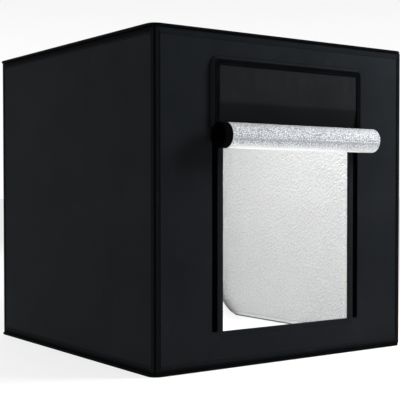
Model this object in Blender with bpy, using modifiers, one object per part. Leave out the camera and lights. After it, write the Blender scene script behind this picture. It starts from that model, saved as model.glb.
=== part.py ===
"""A folding light tent for small products: six bound boards, silver linings, a swept white
backdrop, two light bars under the roof and a rolled-up door flap over the front window.

The tent stands on the plane z = 0 with its front facing -Y, and the origin is the middle of the
ground that it covers, with the rolled flap. Every panel is modelled in its own panel frame: x runs
across it, z runs up it from its lower edge, and y runs into the tent from its outer face. Lengths
are in metres.
"""

import math

import bmesh
import bpy
from mathutils import Matrix, Vector

# Outer sizes of the tent, measured over its walls and its two plates
tent_width = 0.592
tent_depth = 0.624
tent_height = 0.600

# Clearance between neighbouring pieces, and the overrun of a cut past the faces that it opens
clearance = 0.0003
overrun = 0.002

# Layers of a wall and of the roof and bottom plates
wall_board_thickness = 0.0028
plate_board_thickness = 0.0028
tape_thickness = 0.0008
lining_thickness = 0.0004

# Bound edges
wall_tape_lap = 0.012
plate_tape_lap = 0.017
inner_tape_lap = 0.010
mitre_board_set_in = 0.006
wall_rim_radius = 0.0008
wall_end_radius = 0.0014
plate_rim_radius = 0.0014
plate_corner_radius = 0.018
least_corner_radius = 0.0005
plate_side_overhang = 0.005
plate_back_overhang = 0.005
plate_front_overhang = 0.0015
lining_end_set_in = 0.001

# Window in the front wall and its bound edge
window_width = 0.3045
window_bottom = 0.067
window_top_margin = 0.084
window_tape_lap = 0.009

# Hook strips on both sides of the window
strip_width = 0.012
strip_thickness = 0.0016
strip_gap = 0.0120
strip_top_gap = 0.0133
strip_end_radius = 0.003

# Door flap: its border stands proud of the wall, and its cloth is rolled up below
flap_side_lap = 0.005
flap_top_lap = 0.0382
flap_bottom_lap = 0.020
border_height = 0.0090
border_crest_radius = 0.0012
border_slope_width = 0.0060
border_tape_width = 0.0118
border_thickness = 0.0010
border_length = 0.126
border_corner_radius = 0.015
cloth_thickness = 0.0006
foil_thickness = 0.00035
cloth_side_play = 0.0006
roll_radius = 0.0240
roll_standoff = 0.030
roll_drop = 0.1404
roll_side_lap = 0.0035
roll_pitch = 0.0023
hem_width = 0.015

# Backdrop sheet, swept from the floor up the back wall
backdrop_side_gap = 0.015
backdrop_top_gap = 0.065
backdrop_front_gap = 0.012
backdrop_thickness = 0.0006
backdrop_cove_radius = 0.098
backdrop_tab_width = 0.050
backdrop_tab_height = 0.025
backdrop_tab_thickness = 0.0014
backdrop_tab_set_in = 0.036

# Cable port in the back wall
port_bore_radius = 0.0055
port_neck_radius = 0.008
port_flange_radius = 0.011
port_flange_thickness = 0.0014
port_side_set_in = 0.081
port_drop = 0.040

# Light bars under the roof
bar_end_gap = 0.046
bar_width = 0.024
bar_height = 0.0095
bar_wall = 0.0012
bar_lip = 0.0025
bar_front_place = 0.135
bar_spacing = 0.250
bar_cap_length = 0.007
bar_cap_radius = 0.0012
light_board_thickness = 0.0012
chip_size = 0.0028
chip_height = 0.0008
chip_spacing = 0.0125
chip_sink = 0.0003
inlet_radius = 0.0032
inlet_bore_radius = 0.0022
inlet_pin_radius = 0.0006
inlet_length = 0.0075
inlet_bore_depth = 0.0060
inlet_pin_set_in = 0.0010
bar_pad_length = 0.045
bar_pad_width = 0.020
bar_pad_thickness = 0.0018
bar_pad_set_in = 0.0475

# Steps of the round shapes
rim_steps = 3
corner_steps = 6
turn_steps = 28
bend_steps = 8
cove_steps = 16
round_steps = 32

# The distance within which a turned piece's seam closes, and the share that makes a bevel round
seam_merge = 0.00001
round_profile_share = 0.5

# Sizes worked out from the ones above
wall_cover = tape_thickness + clearance
wall_thickness = wall_board_thickness + 2 * wall_cover
plate_thickness = plate_board_thickness + 2 * wall_cover
wall_bottom = plate_thickness + clearance
wall_height = tent_height - 2 * wall_bottom
plate_width = tent_width + 2 * plate_side_overhang
plate_depth = tent_depth + plate_front_overhang + plate_back_overhang
half_gap = clearance / 2
window_height = tent_height - window_bottom - window_top_margin
flap_top = window_bottom + window_height + flap_top_lap
strip_centre = window_width / 2 + strip_gap + strip_width / 2
flap_width = 2 * (strip_centre + strip_width / 2 + flap_side_lap)
backdrop_width = tent_width - 2 * backdrop_side_gap
bar_length = tent_width - 2 * bar_end_gap
wall_lining_face = wall_thickness + clearance
plate_lining_face = plate_thickness + clearance
lining_corner = wall_lining_face + lining_thickness + clearance

# The walls stand behind the origin, which lies midway between the roll and the back overhang
middle_y = (roll_standoff + roll_radius - plate_back_overhang) / 2
front_y = middle_y - tent_depth / 2
back_y = middle_y + tent_depth / 2


def panel_frame(x, y, z, angle, axis):
    """The frame of a panel: a place in the tent and a turn in degrees about one axis."""
    return Matrix.Translation((x, y, z)) @ Matrix.Rotation(math.radians(angle), 4, axis)


front_frame = panel_frame(0, front_y, wall_bottom, 0, "Z")
back_frame = panel_frame(0, back_y, wall_bottom, 180, "Z")
left_frame = panel_frame(-tent_width / 2, middle_y, wall_bottom, -90, "Z")
right_frame = panel_frame(tent_width / 2, middle_y, wall_bottom, 90, "Z")
roof_frame = panel_frame(0, front_y - plate_front_overhang, tent_height, -90, "X")
bottom_frame = panel_frame(0, back_y + plate_back_overhang, 0, 90, "X")

for old_object in list(bpy.data.objects):
    bpy.data.objects.remove(old_object, do_unlink=True)

tent = bpy.data.collections.new("light_tent_cube")
cutters = bpy.data.collections.new("cutters")
bpy.context.scene.collection.children.link(tent)
bpy.context.scene.collection.children.link(cutters)


def make_material(name, colour, roughness, metallic=0.0):
    """A plain finish for a sub-part."""
    material = bpy.data.materials.new(name)
    material.use_nodes = True
    shader = material.node_tree.nodes["Principled BSDF"]
    shader.inputs["Base Color"].default_value = (*colour, 1.0)
    shader.inputs["Roughness"].default_value = roughness
    shader.inputs["Metallic"].default_value = metallic
    return material


board_finish = make_material("black_coated_board", (0.013, 0.014, 0.016), 0.70)
tape_finish = make_material("black_binding_tape", (0.004, 0.0045, 0.005), 0.85)
silver_finish = make_material("silver_lining", (0.72, 0.73, 0.74), 0.35, 0.8)
hook_finish = make_material("black_hook_strip", (0.002, 0.002, 0.002), 0.95)
cloth_finish = make_material("black_flap_cloth", (0.016, 0.017, 0.019), 0.75)
sheet_finish = make_material("white_backdrop", (0.93, 0.93, 0.93), 0.45)
metal_finish = make_material("bar_aluminium", (0.75, 0.76, 0.77), 0.35, 1.0)
light_board_finish = make_material("white_light_board", (0.85, 0.85, 0.82), 0.50)
cap_finish = make_material("white_end_cap", (0.80, 0.80, 0.80), 0.50)
inlet_finish = make_material("black_inlet", (0.01, 0.01, 0.01), 0.40)
rubber_finish = make_material("black_rubber", (0.012, 0.012, 0.012), 0.80)


def make_body(name, place, parent=None):
    """An empty on a joint's axis, which carries the pieces of one moving body."""
    body = bpy.data.objects.new(name, None)
    tent.objects.link(body)
    body.parent = parent
    body.location = place - (body_places[parent.name] if parent else Vector())
    body_places[name] = place
    return body


body_places = {}
roof_hinge_height = tent_height - plate_thickness - half_gap
flap_hinge_height = flap_top + half_gap
base = make_body("base_frame", Vector())
back = make_body("back_hinge", Vector((0, back_y + half_gap, plate_thickness + half_gap)), base)
left = make_body("left_hinge", Vector((-tent_width / 2, back_y, wall_bottom)), back)
right = make_body("right_hinge", Vector((tent_width / 2, back_y, wall_bottom)), back)
roof = make_body("roof_hinge", Vector((0, back_y + half_gap, roof_hinge_height)), back)
front = make_body("front_hinge", Vector((0, front_y - half_gap, roof_hinge_height)), roof)
flap = make_body("flap_hinge", Vector((0, front_y + tape_thickness, flap_hinge_height)), front)


def add_part(name, shape, finish, body, frame, smooth=True):
    """Makes a named piece from a bmesh in a panel frame and hangs it on its body."""
    mesh = bpy.data.meshes.new(name)
    shape.to_mesh(mesh)
    shape.free()
    mesh.materials.append(finish)
    if smooth:
        mesh.shade_smooth()
        mesh.set_sharp_from_angle(angle=math.radians(30))
    piece = bpy.data.objects.new(name, mesh)
    tent.objects.link(piece)
    piece.parent = body
    piece.matrix_basis = Matrix.Translation(-body_places[body.name]) @ frame
    return piece


def add_cutter(name, shape, frame):
    """Makes a hidden solid that cuts or joins pieces, placed in a panel frame."""
    mesh = bpy.data.meshes.new(name)
    shape.to_mesh(mesh)
    shape.free()
    cutter = bpy.data.objects.new(name, mesh)
    cutters.objects.link(cutter)
    cutter.matrix_basis = frame
    cutter.hide_render = True
    cutter.display_type = "WIRE"
    return cutter


def combine(piece, other, operation="DIFFERENCE"):
    """Cuts a piece with another solid, or joins the two."""
    modifier = piece.modifiers.new(other.name, "BOOLEAN")
    modifier.operation = operation
    modifier.solver = "EXACT"
    modifier.object = other


def box(low, high, shape=None):
    """A box between two opposite corners, in a bmesh of its own or added to one."""
    if shape is None:
        shape = bmesh.new()
    low = Vector(low)
    high = Vector(high)
    size = high - low
    place = Matrix.Translation((low + high) / 2) @ Matrix.Diagonal((*size, 1))
    bmesh.ops.create_cube(shape, size=1, matrix=place)
    return shape


def slab(low, high, radius, axis):
    """A box whose edges along one axis are rounded."""
    shape = box(low, high)
    edges = []
    for edge in shape.edges:
        run = edge.verts[1].co - edge.verts[0].co
        if abs(run[axis]) > max(abs(run[(axis + 1) % 3]), abs(run[(axis + 2) % 3])):
            edges.append(edge)
    bmesh.ops.bevel(
        shape, geom=edges, offset=radius, segments=corner_steps,
        profile=round_profile_share, affect="EDGES",
    )
    return shape


def cylinder(radius, low, high):
    """A round bar along the depth of a panel, centred on its x = 0 and z = 0."""
    shape = bmesh.new()
    place = Matrix.Translation((0, (low + high) / 2, 0)) @ Matrix.Rotation(math.pi / 2, 4, "X")
    bmesh.ops.create_cone(
        shape, cap_ends=True, segments=round_steps, radius1=radius, radius2=radius,
        depth=high - low, matrix=place,
    )
    return shape


def loft(sections, closed):
    """Joins a row of like outlines, each a loop of points, into one closed skin."""
    shape = bmesh.new()
    loops = [[shape.verts.new(point) for point in section] for section in sections]
    followers = loops[1:] + loops[:1] if closed else loops[1:]
    for first, second in zip(loops, followers):
        for index in range(len(first)):
            after = (index + 1) % len(first)
            shape.faces.new((first[index], first[after], second[after], second[index]))
    if not closed:
        shape.faces.new(loops[0])
        shape.faces.new(loops[-1])
    bmesh.ops.recalc_face_normals(shape, faces=shape.faces[:])
    return shape


def arc(centre, radius, start, end, steps):
    """Points on an arc, from a start angle to an end angle in degrees."""
    points = []
    for step in range(steps + 1):
        angle = math.radians(start + (end - start) * step / steps)
        points.append((centre[0] + radius * math.cos(angle), centre[1] + radius * math.sin(angle)))
    return points


def tape_section(thickness, lap, inner_lap, set_in, rim):
    """The U of tape round a board's edge, as (inset, depth) points, after the rim's own points."""
    far = thickness - tape_thickness
    pocket = set_in - clearance
    return (
        [(lap, 0)] + rim
        + [(inner_lap, thickness), (inner_lap, far), (pocket, far), (pocket, tape_thickness)]
        + [(lap, tape_thickness)]
    )


def round_inset(depth):
    """How far the rounded top and bottom rims of a wall are drawn in at a depth."""
    rise = max(wall_end_radius - depth, 0)
    return wall_end_radius - math.sqrt(wall_end_radius ** 2 - rise ** 2)


def wall_binding(width):
    """The tape round a wall: mitred at its two upright edges, square at its top and bottom."""
    mitre = half_gap * math.sqrt(2)
    tip = wall_rim_radius / math.tan(math.radians(22.5))
    upright_rim = arc((mitre + tip, wall_rim_radius), wall_rim_radius, -90, -225, rim_steps)
    upright_rim.append((mitre + wall_thickness, wall_thickness))
    end_rim = [(round_inset(depth), depth) for _, depth in upright_rim]
    upright = tape_section(
        wall_thickness, wall_tape_lap, inner_tape_lap, mitre_board_set_in, upright_rim
    )
    end = tape_section(wall_thickness, wall_tape_lap, inner_tape_lap, wall_cover, end_rim)
    sections = []
    for side, rise in ((-1, -1), (1, -1), (1, 1), (-1, 1)):
        section = []
        for (inset_x, depth), (inset_z, _) in zip(upright, end):
            x = side * (width / 2 - inset_x)
            z = wall_height / 2 + rise * (wall_height / 2 - inset_z)
            section.append((x, depth, z))
        sections.append(section)
    return sections


def rounded_outline(width, height, radius, inset):
    """A rectangle with round corners, drawn in by an inset, centred on x = 0 and standing on z = 0."""
    corner = max(radius - inset, least_corner_radius)
    reach_x = width / 2 - inset - corner
    reach_z = height / 2 - inset - corner
    points = []
    for quarter, (side, rise) in enumerate(((1, 1), (-1, 1), (-1, -1), (1, -1))):
        centre = (side * reach_x, height / 2 + rise * reach_z)
        points += arc(centre, corner, 90 * quarter, 90 * quarter + 90, corner_steps)
    return points


def plate_binding():
    """The tape round the roof or the bottom plate, with rounded rims and corners."""
    near = (plate_rim_radius, plate_rim_radius)
    far = (plate_rim_radius, plate_thickness - plate_rim_radius)
    rim = arc(near, plate_rim_radius, -90, -180, rim_steps)
    rim += arc(far, plate_rim_radius, -180, -270, rim_steps)
    section = tape_section(plate_thickness, plate_tape_lap, plate_tape_lap, wall_cover, rim)
    outlines = [
        rounded_outline(plate_width, plate_depth, plate_corner_radius, inset) for inset, _ in section
    ]
    return [
        [(outline[place][0], depth, outline[place][1]) for outline, (_, depth) in zip(outlines, section)]
        for place in range(len(outlines[0]))
    ]


def window_cutter(name, margin):
    """A solid through the front wall, larger than the window by a margin all round."""
    low = (-window_width / 2 - margin, -overrun, window_bottom - wall_bottom - margin)
    high = (
        window_width / 2 + margin,
        wall_thickness + overrun,
        window_bottom - wall_bottom + window_height + margin,
    )
    return add_cutter(name, box(low, high), front_frame)


def make_wall(name, width, body, frame):
    """A wall: a board in a black cover, the tape round its edge, and the silver lining over both."""
    board_low = (-width / 2 + mitre_board_set_in, wall_cover, wall_cover)
    board_high = (width / 2 - mitre_board_set_in, wall_thickness - wall_cover, wall_height - wall_cover)
    board = add_part(name + "_board", box(board_low, board_high), board_finish, body, frame)
    add_part(name + "_binding", loft(wall_binding(width), True), tape_finish, body, frame)
    side = width / 2 - lining_corner
    low = (-side, wall_lining_face, lining_end_set_in)
    high = (side, wall_lining_face + lining_thickness, wall_height - lining_end_set_in)
    lining = add_part(name + "_lining", box(low, high), silver_finish, body, frame)
    return board, lining


def make_plate(name, body, frame, near_overhang, far_overhang):
    """The roof or the bottom: a board with round corners, its tape, and a lining inside the walls."""
    set_in = wall_cover
    radius = plate_corner_radius - set_in
    board_low = (-plate_width / 2 + set_in, wall_cover, set_in)
    board_high = (plate_width / 2 - set_in, plate_thickness - wall_cover, plate_depth - set_in)
    add_part(name + "_board", slab(board_low, board_high, radius, 1), board_finish, body, frame)
    add_part(name + "_binding", loft(plate_binding(), True), tape_finish, body, frame)
    side = tent_width / 2 - lining_corner
    near = near_overhang + lining_corner
    far = plate_depth - far_overhang - lining_corner
    low = (-side, plate_lining_face, near)
    high = (side, plate_lining_face + lining_thickness, far)
    add_part(name + "_lining", box(low, high), silver_finish, body, frame)


def make_front():
    """The front wall with its window, the window's bound edge and the two hook strips."""
    board, lining = make_wall("front", tent_width, front, front_frame)
    combine(board, window_cutter("window_in_board", wall_cover))
    combine(lining, window_cutter("window_in_lining", lining_end_set_in))
    far = wall_thickness - tape_thickness
    section = (
        (-window_tape_lap, 0), (-tape_thickness, 0), (0, tape_thickness), (0, far),
        (-tape_thickness, wall_thickness), (-window_tape_lap, wall_thickness),
        (-window_tape_lap, far), (-tape_thickness, far),
        (-tape_thickness, tape_thickness), (-window_tape_lap, tape_thickness),
    )
    middle = window_bottom - wall_bottom + window_height / 2
    sections = []
    for side, rise in ((-1, -1), (1, -1), (1, 1), (-1, 1)):
        sections.append([
            (side * (window_width / 2 - inset), depth, middle + rise * (window_height / 2 - inset))
            for inset, depth in section
        ])
    add_part("window_binding", loft(sections, True), tape_finish, front, front_frame)
    strip_back = wall_cover - clearance
    strip_foot = window_bottom - wall_bottom
    strip_head = flap_top - strip_top_gap - wall_bottom
    for name, side in (("hook_strip_left", -1), ("hook_strip_right", 1)):
        low = (side * strip_centre - strip_width / 2, strip_back - strip_thickness, strip_foot)
        high = (side * strip_centre + strip_width / 2, strip_back, strip_head)
        add_part(name, slab(low, high, strip_end_radius, 1), hook_finish, front, front_frame)


def make_border():
    """The raised edge round the flap's top and sides: a sloping skirt under a band of tape."""
    foot = tape_thickness
    crest = foot - border_height
    slope = border_slope_width
    skin = border_thickness
    steepness = math.degrees(math.atan2(border_height, slope))
    crest_centre = slope + border_crest_radius * math.tan(math.radians(steepness / 2))
    section = [(0, foot)]
    section += arc(
        (crest_centre, crest + border_crest_radius), border_crest_radius, -90 - steepness, -90, rim_steps
    )
    section += [
        (slope + border_tape_width, crest), (slope + border_tape_width, crest + skin),
        (slope + skin, crest + skin), (skin, foot),
    ]
    top = flap_top - wall_bottom
    outlines = []
    for inset, _ in section:
        corner = max(border_corner_radius - inset, least_corner_radius)
        half = flap_width / 2 - inset
        crown = top - inset - corner
        points = [(-half, top - border_length)]
        points += arc((-half + corner, crown), corner, 180, 90, corner_steps)
        points += arc((half - corner, crown), corner, 90, 0, corner_steps)
        points.append((half, top - border_length))
        outlines.append(points)
    sections = [
        [(outline[place][0], depth, outline[place][1]) for outline, (_, depth) in zip(outlines, section)]
        for place in range(len(outlines[0]))
    ]
    add_part("flap_border", loft(sections, False), tape_finish, flap, front_frame)


def cloth_inset():
    """What is left of the border's corner radius inside its skirt."""
    return border_corner_radius - border_slope_width - border_thickness


def cloth_level():
    """How far the middle of the hanging cloth stands out from the wall's outer face."""
    under_band = border_height - tape_thickness - border_thickness - clearance
    return under_band - cloth_thickness / 2


def roll_route():
    """The cloth's route, as stations (outward, height, outward normal, flare share, pinch).

    It hangs straight behind the border, with its top corners rounded by the pinch, bends outward on
    one arc that runs into the roll, and winds up in a spiral from its outer turn inwards.
    """
    level = cloth_level()
    bend_top = flap_top - border_length
    offset = roll_standoff - level
    roll_axis_height = flap_top - roll_drop
    drop = bend_top - roll_axis_height
    outer = roll_radius - foil_thickness - clearance - cloth_thickness / 2
    bend_radius = (offset ** 2 + drop ** 2 - outer ** 2) / (2 * (offset - outer))
    sweep = math.atan2(drop, bend_radius - offset)
    hang_top = flap_top - border_thickness - border_slope_width - clearance
    corner = max(cloth_inset() - cloth_side_play, least_corner_radius)
    stations = []
    for across, up in arc((0, hang_top - corner), corner, 90, 0, corner_steps):
        stations.append((level, up, 1, 0, 0, corner - across))
    for step in range(bend_steps + 1):
        share = step / bend_steps
        angle = math.pi + sweep * share
        out = level + bend_radius + bend_radius * math.cos(angle)
        height = bend_top + bend_radius * math.sin(angle)
        stations.append((out, height, -math.cos(angle), -math.sin(angle), share, 0))
    cloth_length = hang_top - window_bottom + flap_bottom_lap
    wound = cloth_length - (hang_top - bend_top) - bend_radius * sweep
    roll_turns = (outer - math.sqrt(outer ** 2 - roll_pitch * wound / math.pi)) / roll_pitch
    count = round(roll_turns * turn_steps)
    for step in range(1, count + 1):
        turned = step / turn_steps
        angle = math.pi + sweep + 2 * math.pi * turned
        radius = outer - roll_pitch * turned
        out = roll_standoff + radius * math.cos(angle)
        height = roll_axis_height + radius * math.sin(angle)
        stations.append((out, height, -math.cos(angle), -math.sin(angle), 1, 0))
    return stations


def ribbon(stations, near, far, left_edge, right_edge):
    """A strip along the route, between two offsets along its normal.

    Each edge is its x where the cloth hangs, its x on the roll, and how much of the pinch it takes.
    """
    sections = []
    for out, height, normal_out, normal_up, share, pinch in stations:
        left_side = left_edge[0] + (left_edge[1] - left_edge[0]) * share + left_edge[2] * pinch
        right_side = right_edge[0] + (right_edge[1] - right_edge[0]) * share - right_edge[2] * pinch
        section = []
        for side, offset in ((left_side, near), (right_side, near), (right_side, far), (left_side, far)):
            depth = -(out + normal_out * offset)
            section.append((side, depth, height + normal_up * offset - wall_bottom))
        sections.append(section)
    return loft(sections, False)


def least_turn_gap(stations):
    """The least distance between neighbouring turns of the roll, less what the layers take up."""
    turns = [station for station in stations if station[4] == 1]
    least = math.inf
    for place, first in enumerate(turns):
        for second in turns[place + turn_steps // 2:]:
            least = min(least, math.hypot(first[0] - second[0], first[1] - second[1]))
    return least - cloth_thickness - clearance - foil_thickness


def make_flap():
    """The door flap: black cloth, silver foil behind it, and the cloth's hem on the left."""
    make_border()
    stations = roll_route()
    inner = flap_width / 2 - border_slope_width - border_thickness - cloth_side_play
    half = cloth_thickness / 2
    foil_near = -half - clearance
    foil_far = foil_near - foil_thickness
    roll_end = flap_width / 2 + roll_side_lap
    left_edge = (-inner, -roll_end, 1)
    right_edge = (inner, roll_end, 1)
    hem_edge = (-inner + hem_width, -roll_end + hem_width, 0)
    foil_edge = (hem_edge[0] + clearance, hem_edge[1] + clearance, 0)
    cloth = ribbon(stations, -half, half, left_edge, right_edge)
    add_part("flap_cloth", cloth, cloth_finish, flap, front_frame)
    foil = ribbon(stations, foil_far, foil_near, foil_edge, right_edge)
    add_part("flap_lining", foil, silver_finish, flap, front_frame)
    hem = ribbon(stations, foil_far, foil_near, left_edge, hem_edge)
    add_part("flap_hem", hem, cloth_finish, flap, front_frame)
    print(f"Least gap between turns of the rolled flap: {least_turn_gap(stations) * 1000:.2f} mm")


def make_backdrop():
    """The white sheet on the floor and the back wall, and the two tabs that hold its top."""
    floor_level = plate_lining_face + lining_thickness + clearance
    tab_face = back_y - lining_corner
    sheet_back = tab_face - backdrop_tab_thickness - clearance
    cove = backdrop_cove_radius
    backdrop_top = tent_height - backdrop_top_gap
    half = backdrop_thickness / 2
    centre = (sheet_back - cove, floor_level + cove)
    front_end = front_y + wall_thickness + backdrop_front_gap
    route = [(front_end, floor_level + half, 0, 1)]
    for y, z in arc(centre, cove - half, -90, 0, cove_steps):
        normal = Vector((centre[0] - y, centre[1] - z)).normalized()
        route.append((y, z, normal.x, normal.y))
    route.append((sheet_back - half, backdrop_top, -1, 0))
    sections = []
    for y, z, normal_y, normal_z in route:
        section = []
        for side, offset in ((-1, -half), (1, -half), (1, half), (-1, half)):
            across = side * backdrop_width / 2
            section.append((across, y + normal_y * offset, z + normal_z * offset))
        sections.append(section)
    add_part("backdrop_sheet", loft(sections, False), sheet_finish, back, Matrix.Identity(4))
    for name, side in (("backdrop_tab_left", -1), ("backdrop_tab_right", 1)):
        half = backdrop_tab_width / 2
        middle = side * (backdrop_width / 2 - backdrop_tab_set_in - half)
        low = (middle - half, tab_face - backdrop_tab_thickness, backdrop_top - backdrop_tab_height)
        high = (middle + half, tab_face, backdrop_top)
        add_part(name, slab(low, high, strip_end_radius, 1), hook_finish, back, Matrix.Identity(4))


def turned(name, profile, finish, body, frame, closed):
    """A turned piece: a profile of (radius, height) points spun round its axis."""
    shape = bmesh.new()
    points = [shape.verts.new((radius, 0, height)) for radius, height in profile]
    for first, second in zip(points, points[1:]):
        shape.edges.new((first, second))
    if closed:
        shape.edges.new((points[-1], points[0]))
    piece = add_part(name, shape, finish, body, frame, smooth=False)
    screw = piece.modifiers.new("turn", "SCREW")
    screw.axis = "Z"
    screw.steps = round_steps
    screw.render_steps = round_steps
    screw.use_merge_vertices = True
    screw.merge_threshold = seam_merge
    screw.use_normal_calculate = False
    screw.use_smooth_shade = True
    return piece


def make_port(board, lining):
    """The round cable port through the back wall, a grommet with a flange on both faces."""
    across = tent_width / 2 - port_side_set_in
    height = tent_height - port_drop - wall_bottom
    place = back_frame @ Matrix.Translation((-across, 0, height))
    hole = add_cutter(
        "port_in_board",
        cylinder(port_neck_radius + clearance, -overrun, wall_thickness + overrun),
        place,
    )
    combine(board, hole)
    gap_round_flange = add_cutter(
        "port_in_lining",
        cylinder(port_flange_radius + clearance, -overrun, wall_thickness + overrun),
        place,
    )
    combine(lining, gap_round_flange)
    near = wall_cover - clearance
    far = wall_thickness - wall_cover + clearance
    profile = (
        (port_flange_radius, far + port_flange_thickness), (port_flange_radius, far),
        (port_neck_radius, far), (port_neck_radius, near), (port_flange_radius, near),
        (port_flange_radius, near - port_flange_thickness),
        (port_bore_radius, near - port_flange_thickness),
        (port_bore_radius, far + port_flange_thickness),
    )
    inward = Matrix.Rotation(-math.pi / 2, 4, "X")
    turned("cable_port", profile, rubber_finish, back, place @ inward, True)


def make_light_bar(name, place_z):
    """A light bar under the roof, in the roof's panel frame: its y runs down into the tent."""
    pad_top = plate_lining_face + lining_thickness + clearance
    top = pad_top + bar_pad_thickness + clearance
    floor = top + bar_wall
    half = bar_width / 2
    bottom = top + bar_height
    lip_top = floor + 2 * clearance + light_board_thickness
    section = (
        (-half, top), (half, top), (half, bottom), (half - bar_wall, bottom),
        (half - bar_wall, lip_top + bar_wall), (half - bar_lip, lip_top + bar_wall),
        (half - bar_lip, lip_top), (half - bar_wall, lip_top), (half - bar_wall, floor),
        (-half + bar_wall, floor), (-half + bar_wall, lip_top), (-half + bar_lip, lip_top),
        (-half + bar_lip, lip_top + bar_wall), (-half + bar_wall, lip_top + bar_wall),
        (-half + bar_wall, bottom), (-half, bottom),
    )
    ends = [
        [(side * bar_length / 2, depth, place_z + across) for across, depth in section] for side in (-1, 1)
    ]
    add_part(name + "_channel", loft(ends, False), metal_finish, roof, roof_frame, smooth=False)
    make_light_board(name, place_z, floor)
    make_bar_ends(name, place_z, top, bottom)
    for pad_name, side in (("_pad_left", -1), ("_pad_right", 1)):
        middle = side * (bar_length / 2 - bar_pad_set_in - bar_pad_length / 2)
        low = (middle - bar_pad_length / 2, pad_top, place_z - bar_pad_width / 2)
        high = (middle + bar_pad_length / 2, pad_top + bar_pad_thickness, place_z + bar_pad_width / 2)
        pad = slab(low, high, strip_end_radius, 1)
        add_part(name + pad_name, pad, hook_finish, roof, roof_frame)


def make_light_board(name, place_z, floor):
    """The white board in a bar's channel, with its row of light chips fused on."""
    half = bar_width / 2 - bar_wall - clearance
    near = floor + clearance
    face = near + light_board_thickness
    low = (-bar_length / 2, near, place_z - half)
    board = add_part(
        name + "_board", box(low, (bar_length / 2, face, place_z + half)),
        light_board_finish, roof, roof_frame, smooth=False,
    )
    chips = bmesh.new()
    count = int(bar_length / chip_spacing)
    for number in range(count):
        middle = (number - (count - 1) / 2) * chip_spacing
        chip_low = (middle - chip_size / 2, face - chip_sink, place_z - chip_size / 2)
        chip_high = (middle + chip_size / 2, face + chip_height, place_z + chip_size / 2)
        box(chip_low, chip_high, chips)
    combine(board, add_cutter(name + "_chips", chips, roof_frame), "UNION")


def make_bar_ends(name, place_z, top, bottom):
    """The two end caps of a bar, and the power inlet that seats in the right one."""
    half = bar_width / 2
    middle = (top + bottom) / 2
    for cap_name, side in (("_cap_left", -1), ("_cap_right", 1)):
        near = bar_length / 2 + clearance
        first = side * near
        last = side * (near + bar_cap_length)
        low = (min(first, last), top, place_z - half)
        high = (max(first, last), bottom, place_z + half)
        block = slab(low, high, bar_cap_radius, 0)
        cap = add_part(name + cap_name, block, cap_finish, roof, roof_frame)
    seat_depth = bar_cap_length - bar_wall + overrun
    inlet_back = bar_length / 2 + clearance + bar_wall
    place = Matrix.Translation((inlet_back, middle, place_z)) @ Matrix.Rotation(math.pi / 2, 4, "Y")
    seat = add_cutter(
        name + "_inlet_seat",
        cylinder(inlet_radius + clearance, -clearance, seat_depth),
        roof_frame @ place @ Matrix.Rotation(math.pi / 2, 4, "X"),
    )
    combine(cap, seat)
    profile = (
        (0, inlet_length - inlet_pin_set_in), (inlet_pin_radius, inlet_length - inlet_pin_set_in),
        (inlet_pin_radius, inlet_length - inlet_bore_depth),
        (inlet_bore_radius, inlet_length - inlet_bore_depth),
        (inlet_bore_radius, inlet_length), (inlet_radius, inlet_length), (inlet_radius, 0), (0, 0),
    )
    turned(name + "_inlet", profile, inlet_finish, roof, roof_frame @ place, False)


make_plate("bottom", base, bottom_frame, plate_back_overhang, plate_front_overhang)
back_board, back_lining = make_wall("back", tent_width, back, back_frame)
make_port(back_board, back_lining)
make_backdrop()
make_wall("left", tent_depth, left, left_frame)
make_wall("right", tent_depth, right, right_frame)
make_plate("roof", roof, roof_frame, plate_front_overhang, plate_back_overhang)
for bar_name, bar_place in (("bar_front", bar_front_place), ("bar_rear", bar_front_place + bar_spacing)):
    make_light_bar(bar_name, bar_place)
make_front()
make_flap()
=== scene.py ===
import math
from collections import namedtuple
from functools import cached_property

import bpy
import numpy as np
from mathutils import Matrix, Vector


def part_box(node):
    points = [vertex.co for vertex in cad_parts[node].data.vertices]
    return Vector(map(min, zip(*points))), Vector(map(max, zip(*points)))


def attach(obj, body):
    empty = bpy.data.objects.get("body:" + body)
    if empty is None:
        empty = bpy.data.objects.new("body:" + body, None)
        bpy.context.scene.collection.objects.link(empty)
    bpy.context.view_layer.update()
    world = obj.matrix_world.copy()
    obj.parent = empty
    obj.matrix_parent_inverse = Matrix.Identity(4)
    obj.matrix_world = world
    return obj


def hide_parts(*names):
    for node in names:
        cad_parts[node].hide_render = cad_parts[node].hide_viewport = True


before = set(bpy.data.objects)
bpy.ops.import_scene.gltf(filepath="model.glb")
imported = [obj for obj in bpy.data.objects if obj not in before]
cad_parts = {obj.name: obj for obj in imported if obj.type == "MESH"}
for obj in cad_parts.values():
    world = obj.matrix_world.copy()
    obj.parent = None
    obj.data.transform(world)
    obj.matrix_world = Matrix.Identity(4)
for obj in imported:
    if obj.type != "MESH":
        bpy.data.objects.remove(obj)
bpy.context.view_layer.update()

# Sizes that the solids were made with, in metres
tape = 0.0008
gap = 0.0003
cover = 0.0011
lining = 0.0004
lining_set_in = 0.001
wall_lap = 0.012
plate_lap = 0.017
inner_lap = 0.010
mitre_set_in = 0.006
plate_corner = 0.018
window_lap = 0.009
border_height = 0.0090
border_slope = 0.0060
border_band = 0.0118
border_skin = 0.0010
border_length = 0.126
border_corner = 0.015
cloth = 0.0006
foil = 0.00035
side_play = 0.0006
roll_radius = 0.0240
roll_standoff = 0.030
roll_drop = 0.1404
roll_side_lap = 0.0035
roll_pitch = 0.0023
roll_turns = 83 / 28
hem_width = 0.015
cove_radius = 0.098
sheet_half = 0.0003

# Sewing
stitch_pitch = 0.0050
stitch_length = 0.0038
thread_radius = 0.00032
seam_inset = 0.0026
seam_level = -0.0001
sunk_level = 0.0004

# Folded tape: how far its face puffs out and its free edge strays
tape_puff = 0.00016
tape_stray = 0.00022
wall_rim = 0.0012
wall_end_rim = 0.0016
plate_rim = 0.0016
window_rim = 0.0012
band_tuck = 0.0016

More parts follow.
